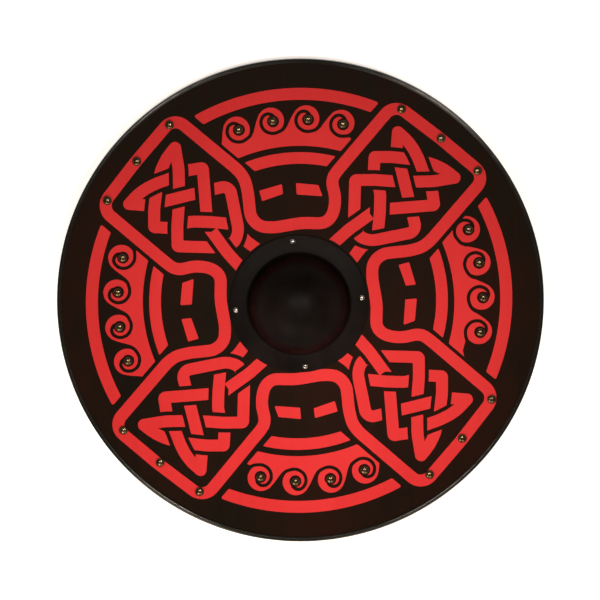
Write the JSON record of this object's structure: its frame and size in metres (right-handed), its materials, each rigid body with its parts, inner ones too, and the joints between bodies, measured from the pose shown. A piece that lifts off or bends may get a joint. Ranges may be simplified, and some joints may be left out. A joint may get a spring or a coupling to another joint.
{
  "type": "round wooden shield",
  "caption": "Round flat wooden shield, black with red knotwork and scrolls, with a dark domed steel boss, rounded black edging, dark brass nails and a wooden grip across the hand hole behind.",
  "frame": {"origin": "on the floor under the centre of the board, at the flat underside of the grip", "axes": "+Z out of the painted face, upwards as the shield lies on its grip; +Y to the top of the pattern as pictured; +X to its right"},
  "size_m": [0.59, 0.59, 0.0886],
  "materials": {
    "painted_board": "black paint with red painted ornament, satin; bare plywood behind",
    "black_edging": "black enamel, glossy, a little worn",
    "blackened_boss": "blackened steel, polished",
    "bright_pins": "bright steel",
    "dark_brass_nails": "antique dark brass, domed and polished on top",
    "bare_wood": "bare hardwood, oiled"
  },
  "bodies": {
    "root": {"board": "painted_board", "edging": "black_edging", "boss": "blackened_boss", "grip": "bare_wood", "boss_pin_top": "bright_pins", "boss_pin_left": "bright_pins", "boss_pin_bottom": "bright_pins", "boss_pin_right": "bright_pins", "scroll_nail_top_1": "dark_brass_nails", "scroll_nail_top_2": "dark_brass_nails", "scroll_nail_top_3": "dark_brass_nails", "scroll_nail_top_4": "dark_brass_nails", "scroll_nail_left_1": "dark_brass_nails", "scroll_nail_left_2": "dark_brass_nails", "scroll_nail_left_3": "dark_brass_nails", "scroll_nail_left_4": "dark_brass_nails", "scroll_nail_bottom_1": "dark_brass_nails", "scroll_nail_bottom_2": "dark_brass_nails", "scroll_nail_bottom_3": "dark_brass_nails", "scroll_nail_bottom_4": "dark_brass_nails", "scroll_nail_right_1": "dark_brass_nails", "scroll_nail_right_2": "dark_brass_nails", "scroll_nail_right_3": "dark_brass_nails", "scroll_nail_right_4": "dark_brass_nails", "knot_nail_top_right_1": "dark_brass_nails", "knot_nail_top_right_2": "dark_brass_nails", "knot_nail_top_right_3": "dark_brass_nails", "knot_nail_top_left_1": "dark_brass_nails", "knot_nail_top_left_2": "dark_brass_nails", "knot_nail_top_left_3": "dark_brass_nails", "knot_nail_bottom_left_1": "dark_brass_nails", "knot_nail_bottom_left_2": "dark_brass_nails", "knot_nail_bottom_left_3": "dark_brass_nails", "knot_nail_bottom_right_1": "dark_brass_nails", "knot_nail_bottom_right_2": "dark_brass_nails", "knot_nail_bottom_right_3": "dark_brass_nails"}
  },
  "joints": []
}
